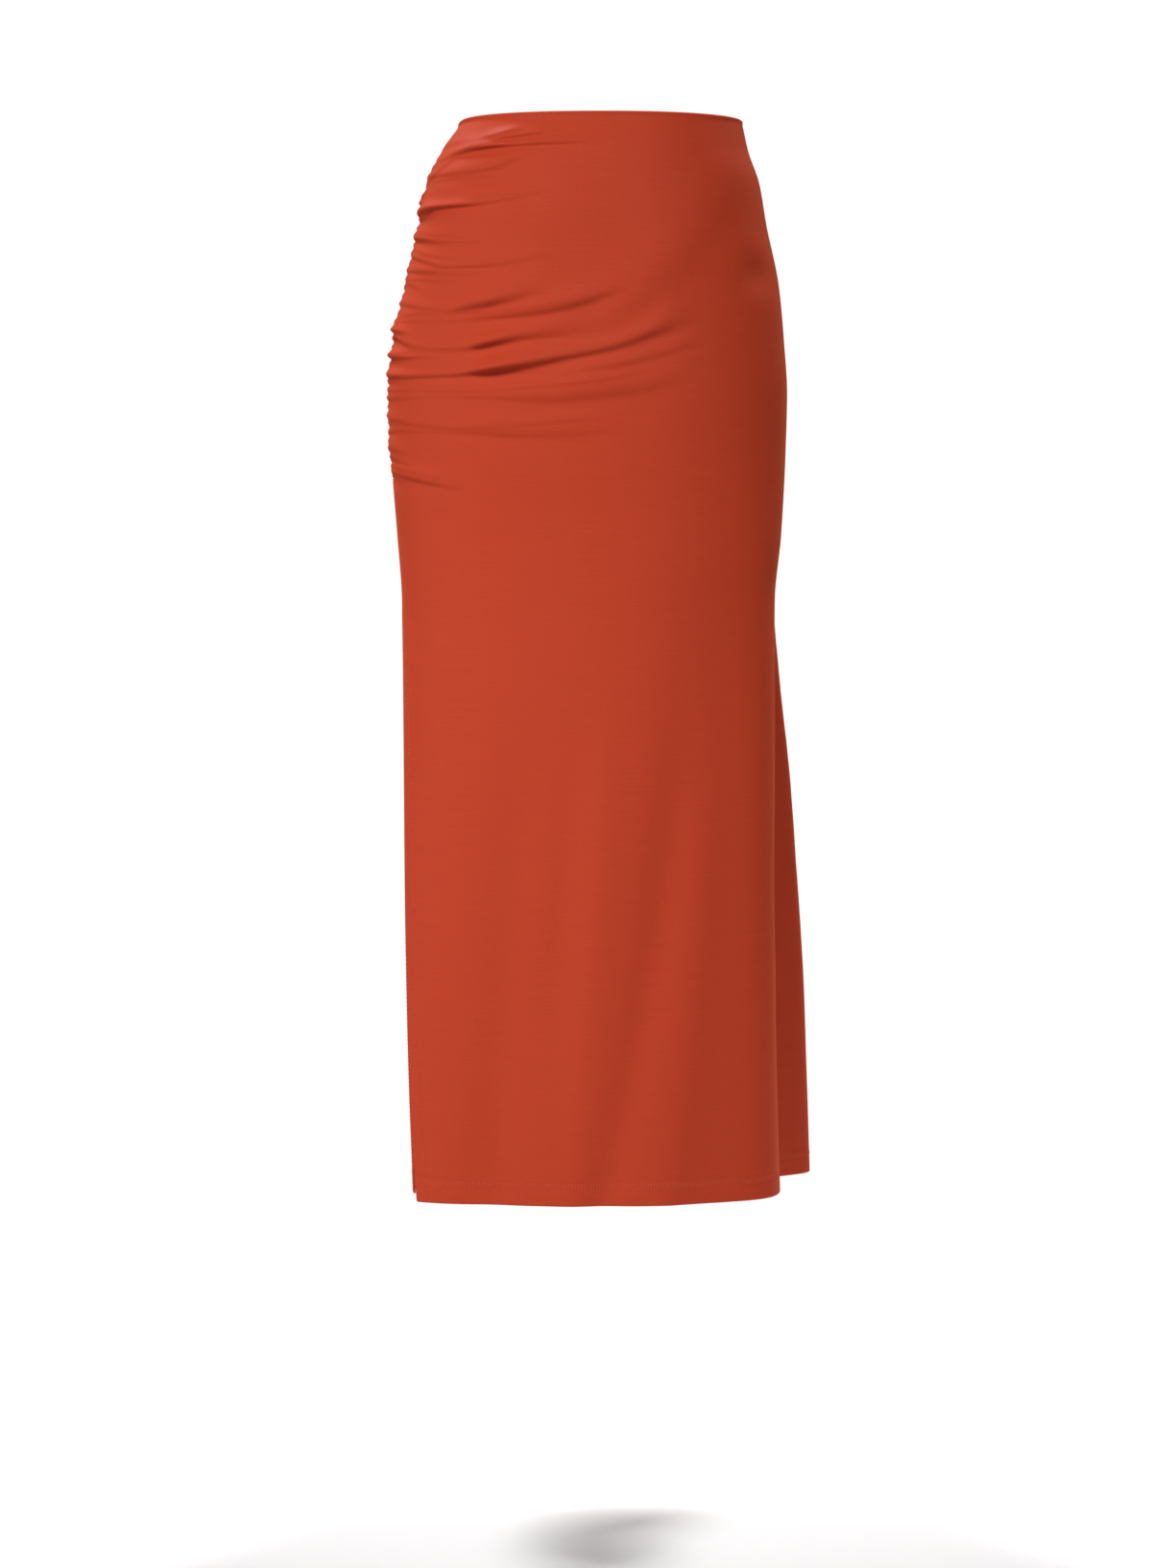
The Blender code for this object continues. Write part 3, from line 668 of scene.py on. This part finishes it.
@dataclass(frozen=True)
class ClosedWall:
    """A thin closed shell of cloth between an outer and an inner grid, with rounded edges."""

    outer: Array
    inner: Array
    roll: float = 0.5

    def rim(self, outer: Array, inner: Array, before: Array) -> Array:
        """Middle line of an edge, pushed past it by a share of the thickness.

        Args:
            outer: Edge of the outer grid, (n, 3).
            inner: Edge of the inner grid, (n, 3).
            before: Outer points one step inside the edge, (n, 3).

        Returns:
            Points (outer + inner) / 2 + roll * thickness * way out, (n, 3).
        """
        away = outer - before
        away /= np.linalg.norm(away, axis=1, keepdims=True)
        thick = np.linalg.norm(outer - inner, axis=1, keepdims=True)
        return (outer + inner) / 2 + away * thick * self.roll

    def faces(self, rows: int, columns: int) -> list[tuple[int, ...]]:
        """Quads round the wall's closed loop, and caps with a ridge at both ends of its columns."""
        loop = 2 * rows + 2
        ids = np.arange(loop * columns).reshape(loop, columns)
        down = np.roll(ids, -1, axis=0)
        body = np.stack([ids[:, :-1], down[:, :-1], down[:, 1:], ids[:, 1:]], axis=-1).reshape(-1, 4)
        faces = body.tolist()
        for end, column in enumerate((0, columns - 1)):
            out, back = ids[:rows, column], ids[rows + 1:2 * rows + 1, column][::-1]
            low, high = ids[rows, column], ids[2 * rows + 1, column]
            ridge = loop * columns + end * rows + np.arange(rows)
            cap = np.concatenate([
                np.stack([out[1:], out[:-1], ridge[:-1], ridge[1:]], axis=-1),
                np.stack([ridge[1:], ridge[:-1], back[:-1], back[1:]], axis=-1)]).tolist()
            cap += [[out[0], high, ridge[0]], [high, back[0], ridge[0]],
                    [low, out[-1], ridge[-1]], [back[-1], low, ridge[-1]]]
            faces += [face if end == 0 else face[::-1] for face in cap]
        return faces

    def build(self, name: str, flip: bool, chart: Array) -> bpy.types.Mesh:
        """Make the mesh.

        Args:
            name: The mesh's name.
            flip: Turn every face round, for a grid that runs the other way.
            chart: Place of each grid point on the flat cloth, in metres, (rows, columns, 2).

        Returns:
            A smooth closed mesh with a UV map named cloth.
        """
        rows, columns, _ = self.outer.shape
        low = self.rim(self.outer[-1], self.inner[-1], self.outer[-2])
        high = self.rim(self.outer[0], self.inner[0], self.outer[1])
        first = self.rim(self.outer[:, 0], self.inner[:, 0], self.outer[:, 1])
        last = self.rim(self.outer[:, -1], self.inner[:, -1], self.outer[:, -2])
        loop = np.concatenate([self.outer, low[None], self.inner[::-1], high[None]])
        points = np.concatenate([loop.reshape(-1, 3), first, last]) * MM
        round_chart = np.concatenate([chart, chart[-1:], chart[::-1], chart[:1]]).reshape(-1, 2)
        charts = np.concatenate([round_chart, chart[:, 0], chart[:, -1]])
        faces = self.faces(rows, columns)
        if flip:
            faces = [face[::-1] for face in faces]
        mesh = bpy.data.meshes.new(name)
        mesh.from_pydata(points.tolist(), [], faces)
        corners = np.zeros(len(mesh.loops), np.int32)
        mesh.loops.foreach_get("vertex_index", corners)
        flat_map = mesh.uv_layers.new(name="cloth")
        flat_map.data.foreach_set("uv", charts[corners].astype(np.float32).ravel())
        mesh.shade_smooth()
        return mesh


@dataclass
class PanelCloth:
    """One cut piece as worn cloth: its surface, its wall and the places of its stitches.

    The ruched seam draws the cloth beside it down, most of all at the waist edge.
    """

    pattern: Pattern
    form: SkirtForm
    grid: Grid
    seam: RuchedSeam
    waist: Turning
    hem: Turning
    slit_edge: Turning
    cloth: float = 0.9
    draw: float = 7.0
    draw_reach: float = 13.0
    draw_depth: float = 25.0
    soft_fade: float = 12.0
    crisp_fade: float = 8.0
    seam_fade: float = 30.0
    slit_fade: float = 8.0
    back_turn: float = 2.0
    outer: Array = field(init=False)
    inner: Array = field(init=False)
    reach: Array = field(init=False)
    level: Array = field(init=False)
    normal: Array = field(init=False)
    chart: Array = field(init=False)

    def __post_init__(self) -> None:
        """Work out both sides of the cloth, and its flat chart in metres."""
        side = self.pattern.side
        self.level = self.grid.levels()
        plain = self.form.place(side, self.level, self.grid.reaches(), self.grid.shares())
        self.reach = plain["reach"]
        z = np.repeat(self.level[:, None], self.reach.shape[1], axis=1)
        self.chart = np.stack([self.reach, z - HEM], axis=-1) * MM
        height = self.folds(plain["x"], z, plain["left"])
        sunk = self.draw * np.exp(-self.reach / self.draw_reach) * np.exp((z - WAIST) / self.draw_depth)
        out = np.stack([plain["out_x"], plain["out_y"], np.zeros_like(z)], axis=-1)
        base = np.stack([plain["x"], plain["y"], z - sunk], axis=-1)
        self.outer = base + out * height[..., None]
        self.inner = self.outer - out * self.thickness(z)[..., None]
        down, across = np.gradient(self.outer, axis=(0, 1))
        normal = np.cross(down, across) * -side.value
        self.normal = normal / np.linalg.norm(normal, axis=-1, keepdims=True)

    def folds(self, x: Array, z: Array, left: Array) -> Array:
        """How far the cloth stands out from the plain form.

        Hangs and swells fade out at both seams, and creases keep closer to the ruched one. The
        gathers, the turned edges and slow waves of at most 0.7 mm are added to them.
        """
        made, reach = self.pattern, self.reach
        soft = sum(fold.height(x, z) for fold in made.hangs + made.swells)
        crisp = sum(fold.height(x, z) for fold in made.creases)
        total = soft * smooth_step(reach / self.soft_fade) + crisp * smooth_step(reach / self.crisp_fade)
        turn = 0.0 if made.side is Side.FRONT else self.back_turn
        slow = sum(wave.height(reach, z, turn) for wave in SLOW_WAVES)
        total = total + slow * smooth_step(reach / self.seam_fade)
        edges = self.hem.height(z - HEM) + self.slit_edge.height(reach) * self.opened(z)
        return total * smooth_step(left / self.seam_fade) + self.seam.height(z, reach) + edges

    def opened(self, z: Array) -> Array:
        """1 where the slit is open, and 0 above it."""
        return smooth_step((SLIT_TOP - z) / self.slit_fade)

    def thickness(self, z: Array) -> Array:
        """Single cloth, double where an edge is turned in."""
        level_edges = np.maximum(self.waist.double(WAIST - z), self.hem.double(z - HEM))
        slit = self.slit_edge.double(self.reach) * self.opened(z)
        return self.cloth * (1 + np.maximum(level_edges, slit))

    def on_cloth(self, level: Array, reach: Array) -> tuple[Array, Array]:
        """Points of the outer surface, between the grid's own, each weighted by its nearness.

        Args:
            level: Levels, (n,).
            reach: Reaches, (n,).

        Returns:
            Points and outward normals, each (n, 3).
        """
        row = np.interp(-level, -self.level, np.arange(len(self.level)))
        i = np.minimum(row.astype(int), len(self.level) - 2)
        f = (row - i)[:, None]
        runs = (1 - f) * self.reach[i] + f * self.reach[i + 1]
        j = np.clip((runs <= reach[:, None]).sum(axis=1) - 1, 0, runs.shape[1] - 2)
        here = np.arange(len(j))
        g = ((reach - runs[here, j]) / (runs[here, j + 1] - runs[here, j]))[:, None]

        def blend(values: Array) -> Array:
            """Weighted mean of the four grid points round each place."""
            return ((1 - f) * (1 - g) * values[i, j] + (1 - f) * g * values[i, j + 1]
                    + f * (1 - g) * values[i + 1, j] + f * g * values[i + 1, j + 1])

        normal = blend(self.normal)
        return blend(self.outer), normal / np.linalg.norm(normal, axis=1, keepdims=True)

    def make(self, name: str) -> bpy.types.Object:
        """Make the closed shell and put it in the scene."""
        wall = ClosedWall(self.outer, self.inner)
        return link(name, wall.build(name, self.pattern.side is Side.BACK, self.chart))


@dataclass(frozen=True)
class Stitching:
    """Rows of stitches, each a short bowed capsule of thread whose ends dive into the cloth."""

    length: float = 2.5
    gap: float = 0.9
    upright_pitch: float = 2.4
    radius: float = 0.28
    bow: float = 0.2
    sink: float = 0.1
    end_round: float = 0.9
    sides: int = 6
    rings: int = 6
    samples: int = 60

    def capsules(self, start: Array, end: Array, normal: Array) -> tuple[Array, list[list[int]]]:
        """All stitches between the given ends.

        Ring k of a stitch lies at f = k / (rings - 1) along it, lifted by bow * (1 - (2f - 1)^2)
        less the sink, and its radius is r * sqrt(1 - end_round * (2f - 1)^4).

        Args:
            start: Start of each stitch, (n, 3).
            end: End of each stitch, (n, 3).
            normal: Way out of the cloth at each stitch, (n, 3).

        Returns:
            Points, (n * rings * sides, 3), and faces.
        """
        f = np.linspace(0, 1, self.rings)
        s = 2 * f - 1
        along = end - start
        way = along / np.linalg.norm(along, axis=1, keepdims=True)
        across = np.cross(normal, way)
        across /= np.linalg.norm(across, axis=1, keepdims=True)
        centre = start[:, None] + along[:, None] * f[None, :, None]
        centre = centre + normal[:, None] * (self.bow * (1 - s * s) - self.sink)[None, :, None]
        thick = self.radius * np.sqrt(1 - self.end_round * s ** 4)
        angle = np.arange(self.sides) * 2 * math.pi / self.sides
        ring = (np.cos(angle)[None, None, :, None] * across[:, None, None]
                + np.sin(angle)[None, None, :, None] * normal[:, None, None])
        points = centre[:, :, None] + ring * thick[None, :, None, None]
        ids = np.arange(points[..., 0].size).reshape(points.shape[:3])
        turned = np.roll(ids, -1, axis=2)
        tube = np.stack([ids[:, :-1], ids[:, 1:], turned[:, 1:], turned[:, :-1]], axis=-1).reshape(-1, 4)
        faces = tube.tolist() + ids[:, 0].tolist() + ids[:, -1, ::-1].tolist()
        return points.reshape(-1, 3), faces

    def straight(self, panel: PanelCloth, level: Pair, reach: Pair) -> Sewn:
        """One row of stitches end to end, evenly spaced between two places.

        Args:
            panel: The cloth that it runs on.
            level: Levels of the row's two ends.
            reach: Reaches of the row's two ends.

        Returns:
            Starts, ends and normals, each (n, 3).
        """
        run, _ = panel.on_cloth(np.linspace(*level, self.samples), np.linspace(*reach, self.samples))
        whole = np.linalg.norm(np.diff(run, axis=0), axis=1).sum()
        count = round(whole / (self.length + self.gap))
        first = np.arange(count) / count
        last = first + self.length / (self.length + self.gap) / count
        start, normal = panel.on_cloth(np.interp(first, (0, 1), level), np.interp(first, (0, 1), reach))
        end, _ = panel.on_cloth(np.interp(last, (0, 1), level), np.interp(last, (0, 1), reach))
        return start, end, normal

    def upright(self, panel: PanelCloth, level: Pair, reach: Pair) -> Sewn:
        """One row of stitches side by side, each standing upright between two levels.

        Args:
            panel: The cloth that it runs on.
            level: Levels of each stitch's two ends.
            reach: Reaches of the row's two ends.

        Returns:
            Starts, ends and normals, each (n, 3).
        """
        place = np.linspace(*reach, round((reach[1] - reach[0]) / self.upright_pitch))
        start, normal = panel.on_cloth(np.full_like(place, level[0]), place)
        end, _ = panel.on_cloth(np.full_like(place, level[1]), place)
        return start, end, normal

    def make(self, name: str, ends: Sewn) -> bpy.types.Object:
        """Make one object of the stitches with the given starts, ends and normals."""
        points, faces = self.capsules(*ends)
        mesh = bpy.data.meshes.new(name)
        mesh.from_pydata((points * MM).tolist(), [], faces)
        mesh.shade_smooth()
        log.info("%s: %d stitches", name, len(ends[0]))
        return link(name, mesh)


def link(name: str, mesh: bpy.types.Mesh) -> bpy.types.Object:
    """Put a mesh in the scene under a name."""
    piece = bpy.data.objects.new(name, mesh)
    bpy.context.scene.collection.objects.link(piece)
    return piece


def add_node(tree: Tree, kind: str, inputs: dict | None = None, **settings) -> bpy.types.Node:
    """Add a node with its settings, its input values and its links.

    Args:
        tree: The material's or world's node tree.
        kind: The node's type.
        inputs: Socket name or number to a value, or to the output socket that feeds it.
        settings: Attributes of the node.

    Returns:
        The node.
    """
    node = tree.nodes.new(kind)
    for key, value in settings.items():
        setattr(node, key, value)
    for key, value in (inputs or {}).items():
        if isinstance(value, Socket):
            tree.links.new(value, node.inputs[key])
        else:
            node.inputs[key].default_value = value
    return node


def make_material(name: str, values: dict) -> bpy.types.Material:
    """Make a material and set values on its shader's own sockets.

    Args:
        name: What it is and how it was made.
        values: Socket name to value.

    Returns:
        The material.
    """
    made = bpy.data.materials.new(name)
    made.use_nodes = True
    shader = made.node_tree.nodes["Principled BSDF"]
    for socket, value in values.items():
        shader.inputs[socket].default_value = value
    return made


@dataclass(frozen=True)
class Dye:
    """Two tones of one dye and the fine relief of what was dyed."""

    light: str
    deep: str
    strength: float
    height_mm: float

    def apply(self, made: bpy.types.Material, share: Socket, relief: Socket) -> None:
        """Colour and roughen a material.

        Args:
            made: The material.
            share: 0 for the deep tone to 1 for the light one.
            relief: 0 for the lowest place to 1 for the highest.
        """
        tree = made.node_tree
        shader = tree.nodes["Principled BSDF"]
        tones = {"Factor": share, "A": srgb_to_linear(self.deep), "B": srgb_to_linear(self.light)}
        colour = add_node(tree, "ShaderNodeMix", tones, data_type="RGBA")
        fine = {"Strength": self.strength, "Distance": self.height_mm * MM, "Height": relief}
        bump = add_node(tree, "ShaderNodeBump", fine)
        tree.links.new(colour.outputs["Result"], shader.inputs["Base Color"])
        tree.links.new(bump.outputs["Normal"], shader.inputs["Normal"])


@dataclass(frozen=True)
class ViscoseJersey:
    """Fine single jersey of viscose with a little elastane, knitted and dyed in the piece.

    Viscose gives it a soft, slightly silky sheen over a matt ground, and the knitting leaves faint
    level streaks where one yarn took the dye a little darker than the next.
    """

    dye: Dye = Dye(light="#B63F26", deep="#A5351E", strength=0.25, height_mm=0.25)
    sheen: str = "#FF8A50"
    roughness: float = 0.62
    specular: float = 0.08
    sheen_weight: float = 0.14
    sheen_roughness: float = 0.4
    ior: float = 1.46
    streak_mm: Pair = (45.0, 1.7)
    heather_mm: Pair = (0.9, 0.9)
    course_mm: float = 1.25
    wale_mm: float = 1.1
    wobble: float = 0.6
    heather_tone: float = 0.75
    tone_span: Pair = (0.25, 0.75)
    streak_relief: float = 0.5
    heather_relief: float = 0.35

    def material(self) -> bpy.types.Material:
        """The material, on the cloth's own flat chart in metres.

        Real courses and wales are about 0.5 mm apart, too fine to show, so they are drawn coarser.
        """
        made = make_material("viscose_jersey", {
            "Roughness": self.roughness, "IOR": self.ior, "Specular IOR Level": self.specular,
            "Sheen Weight": self.sheen_weight, "Sheen Roughness": self.sheen_roughness,
            "Sheen Tint": srgb_to_linear(self.sheen)})
        tree = made.node_tree
        chart = add_node(tree, "ShaderNodeUVMap", uv_map="cloth").outputs["UV"]
        grains = []
        for (wide, high), detail in ((self.streak_mm, 2.0), (self.heather_mm, 1.0)):
            scale = (1 / (wide * MM), 1 / (high * MM), 1.0)
            sized = add_node(tree, "ShaderNodeMapping", {"Vector": chart, "Scale": scale})
            noise = {"Vector": sized.outputs["Vector"], "Scale": 1.0, "Detail": detail}
            grains.append(add_node(tree, "ShaderNodeTexNoise", noise).outputs["Fac"])
        streak, heather = grains
        ribs = []
        for way, pitch in (("Y", self.course_mm), ("X", self.wale_mm)):
            wave = {"Vector": chart, "Scale": WAVE_PITCH / (pitch * MM), "Distortion": self.wobble,
                    "Detail": 1.0, "Detail Scale": 0.4}
            ribs.append(add_node(tree, "ShaderNodeTexWave", wave, bands_direction=way).outputs["Fac"])
        loops = add_node(tree, "ShaderNodeMath", dict(enumerate(ribs)), operation="MULTIPLY").outputs[0]
        tone = add_node(tree, "ShaderNodeMix", {"Factor": self.heather_tone, "A": streak, "B": heather})
        knit = add_node(tree, "ShaderNodeMix", {"Factor": self.streak_relief, "A": loops, "B": streak})
        rough = {"Factor": self.heather_relief, "A": knit.outputs["Result"], "B": heather}
        relief = add_node(tree, "ShaderNodeMix", rough).outputs["Result"]
        low, high = self.tone_span
        span = {"Value": tone.outputs["Result"], "From Min": low, "From Max": high}
        share = add_node(tree, "ShaderNodeMapRange", span).outputs["Result"]
        self.dye.apply(made, share, relief)
        return made


@dataclass(frozen=True)
class SewingThread:
    """Spun polyester thread, dyed to match.

    Its plies give it fine slanting ridges, a little shinier than the cloth.
    """

    dye: Dye = Dye(light="#C74E34", deep="#AC3D28", strength=0.3, height_mm=0.1)
    roughness: float = 0.55
    specular: float = 0.15
    sheen_weight: float = 0.05
    ply_mm: float = 0.5

    def material(self) -> bpy.types.Material:
        """The material, with slanting plies on Object coordinates."""
        made = make_material("polyester_thread", {
            "Roughness": self.roughness, "Specular IOR Level": self.specular,
            "Sheen Weight": self.sheen_weight})
        tree = made.node_tree
        place = add_node(tree, "ShaderNodeTexCoord").outputs["Object"]
        wave = {"Vector": place, "Scale": WAVE_PITCH / (self.ply_mm * MM)}
        ply = add_node(tree, "ShaderNodeTexWave", wave, bands_direction="DIAGONAL").outputs["Fac"]
        self.dye.apply(made, ply, ply)
        return made


@dataclass
class Skirt:
    """The whole garment: two panels of cloth and the stitches on each."""

    form: SkirtForm = SkirtForm(SECTIONS, SLIT)
    grid: Grid = Grid()
    seam: RuchedSeam = RuchedSeam()
    waist: Turning = Turning(depth=10.0)
    hem: Turning = Turning(depth=19.4, rows=(13.0, 17.6))
    slit_edge: Turning = Turning(depth=11.6, rows=(9.8,))
    stitching: Stitching = Stitching()
    stitch_margin: float = 1.0
    slit_stitch_start: float = 4.0

    def make(self) -> None:
        """Build both panels and dress them."""
        cloth, thread = ViscoseJersey().material(), SewingThread().material()
        for pattern in (FRONT, BACK):
            panel = PanelCloth(pattern, self.form, self.grid, self.seam,
                               self.waist, self.hem, self.slit_edge)
            piece = panel.make(f"{pattern.side.word}_cloth")
            piece.data.materials.append(cloth)
            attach(piece, "root")
            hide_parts(pattern.node)
            sewn = self.sew(panel, thread)
            log.info("%s: %d faces", piece.name, len(piece.data.polygons))

    def sew(self, panel: PanelCloth, thread: bpy.types.Material) -> list[bpy.types.Object]:
        """Hem and slit stitches of one panel."""
        word = panel.pattern.side.word
        margin = self.stitch_margin
        low, high = (HEM + row for row in self.hem.rows)
        across = (margin, float(panel.reach[-1, -1]) - margin)
        down = (SLIT_TOP - self.slit_stitch_start, HEM + margin)
        hem = self.stitching.upright(panel, (low, high), across)
        slit = self.stitching.straight(panel, down, self.slit_edge.rows * 2)
        sewn = [self.stitching.make(f"{word}_hem_stitches", hem),
                self.stitching.make(f"{word}_slit_stitches", slit)]
        for piece in sewn:
            piece.data.materials.append(thread)
            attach(piece, "root")
        return sewn


@dataclass(frozen=True)
class SoftLight:
    """A square studio softbox with a grid, which holds its light to a cone of the spread's width."""

    name: str
    place: Place
    size: float
    power: float
    spread: float
    aim: Place = (0.0, 0.0, -0.45)

    def make(self) -> None:
        """Add the lamp."""
        lamp = bpy.data.lights.new(self.name, "AREA")
        lamp.shape = "SQUARE"
        lamp.size = self.size
        lamp.energy = self.power
        lamp.spread = math.radians(self.spread)
        rig = bpy.data.objects.new(self.name, lamp)
        bpy.context.scene.collection.objects.link(rig)
        rig.location = self.place
        way = np.array(self.aim) - np.array(self.place)
        flat = math.hypot(way[0], way[1])
        rig.rotation_euler = (math.atan2(flat, -way[2]), 0.0, math.atan2(way[1], way[0]) - math.pi / 2)


@dataclass(frozen=True)
class Studio:
    """Round white floor, white surround, soft light and the camera at the photograph's angle."""

    floor_level: float = -1.125
    floor_radius: float = 1.35
    floor_thick: float = 0.02
    floor_sides: int = 96
    paper: str = "#F7F7F7"
    paper_roughness: float = 0.9
    sky: float = 0.06
    lights: tuple[SoftLight, ...] = (
        SoftLight("key", (-1.4, -4.0, 2.2), 1.6, 5.3, 28.0, aim=(0.0, 0.0, -0.33)),
        SoftLight("right_front", (1.2, -4.2, 1.9), 1.6, 4.2, 31.0, aim=(0.0, 0.0, -0.4)),
        SoftLight("left_side", (-3.6, -1.4, 0.6), 1.6, 4.0, 28.0, aim=(0.0, 0.0, -0.38)),
        SoftLight("back_left", (-1.8, 2.5, 3.2), 1.8, 2.1, 36.0),
        SoftLight("back_right", (1.8, 2.5, 3.2), 1.8, 2.1, 36.0),
        SoftLight("floor_left", (-1.5, 1.9, 2.8), 1.0, 12.0, 50.0, aim=(0.15, 0.35, -1.1)),
        SoftLight("floor_right", (1.5, 1.9, 2.8), 1.0, 12.0, 50.0, aim=(-0.15, 0.35, -1.1)),
    )
    camera_place: Place = (-0.0107, -3.408, -0.363)
    camera_tilt: float = 2.85
    lens: float = 96.0
    sensor: float = 36.0

    def make(self) -> None:
        """Build the floor, the surround, the lights and the camera."""
        self.floor()
        for light in self.lights:
            light.make()
        scene = bpy.context.scene
        scene.world = self.surround()
        scene.view_settings.view_transform = "Standard"
        lens = bpy.data.cameras.new("camera")
        lens.lens = self.lens
        lens.sensor_width = self.sensor
        camera = bpy.data.objects.new("camera", lens)
        scene.collection.objects.link(camera)
        camera.location = self.camera_place
        camera.rotation_euler = (math.radians(90.0 - self.camera_tilt), 0.0, 0.0)
        scene.camera = camera

    def surround(self) -> bpy.types.World:
        """White surround on every side that lights the skirt only faintly, as distant white walls do."""
        world = bpy.data.worlds.new("white_surround")
        world.use_nodes = True
        tree = world.node_tree
        seen = add_node(tree, "ShaderNodeLightPath").outputs["Is Camera Ray"]
        strength = add_node(tree, "ShaderNodeMix", {"Factor": seen, "A": self.sky, "B": 1.0})
        shade = tree.nodes["Background"]
        shade.inputs["Color"].default_value = (1.0, 1.0, 1.0, 1.0)
        tree.links.new(strength.outputs["Result"], shade.inputs["Strength"])
        return world

    def floor(self) -> None:
        """A thin round board of matt white paper: two discs and the narrow side between them."""
        angle = np.linspace(0, 2 * math.pi, self.floor_sides, endpoint=False)
        ring = np.stack([np.cos(angle), np.sin(angle)], axis=-1) * self.floor_radius
        levels = (self.floor_level, self.floor_level - self.floor_thick)
        points = np.concatenate([np.column_stack([ring, np.full(len(ring), z)]) for z in levels])
        first = np.arange(len(ring))
        after = np.roll(first, -1)
        sides = np.stack([first, first + len(ring), after + len(ring), after], axis=-1)
        faces = [first.tolist(), (first[::-1] + len(ring)).tolist()] + sides.tolist()
        mesh = bpy.data.meshes.new("studio_floor")
        mesh.from_pydata(points.tolist(), [], faces)
        mesh.materials.append(make_material("studio_paper", {
            "Base Color": srgb_to_linear(self.paper), "Roughness": self.paper_roughness}))
        link("studio_floor", mesh)


def main() -> None:
    """Build the skirt and the studio."""
    logging.basicConfig(level=logging.INFO, format="%(message)s")
    Skirt().make()
    Studio().make()


if __name__ == "__main__":
    main()
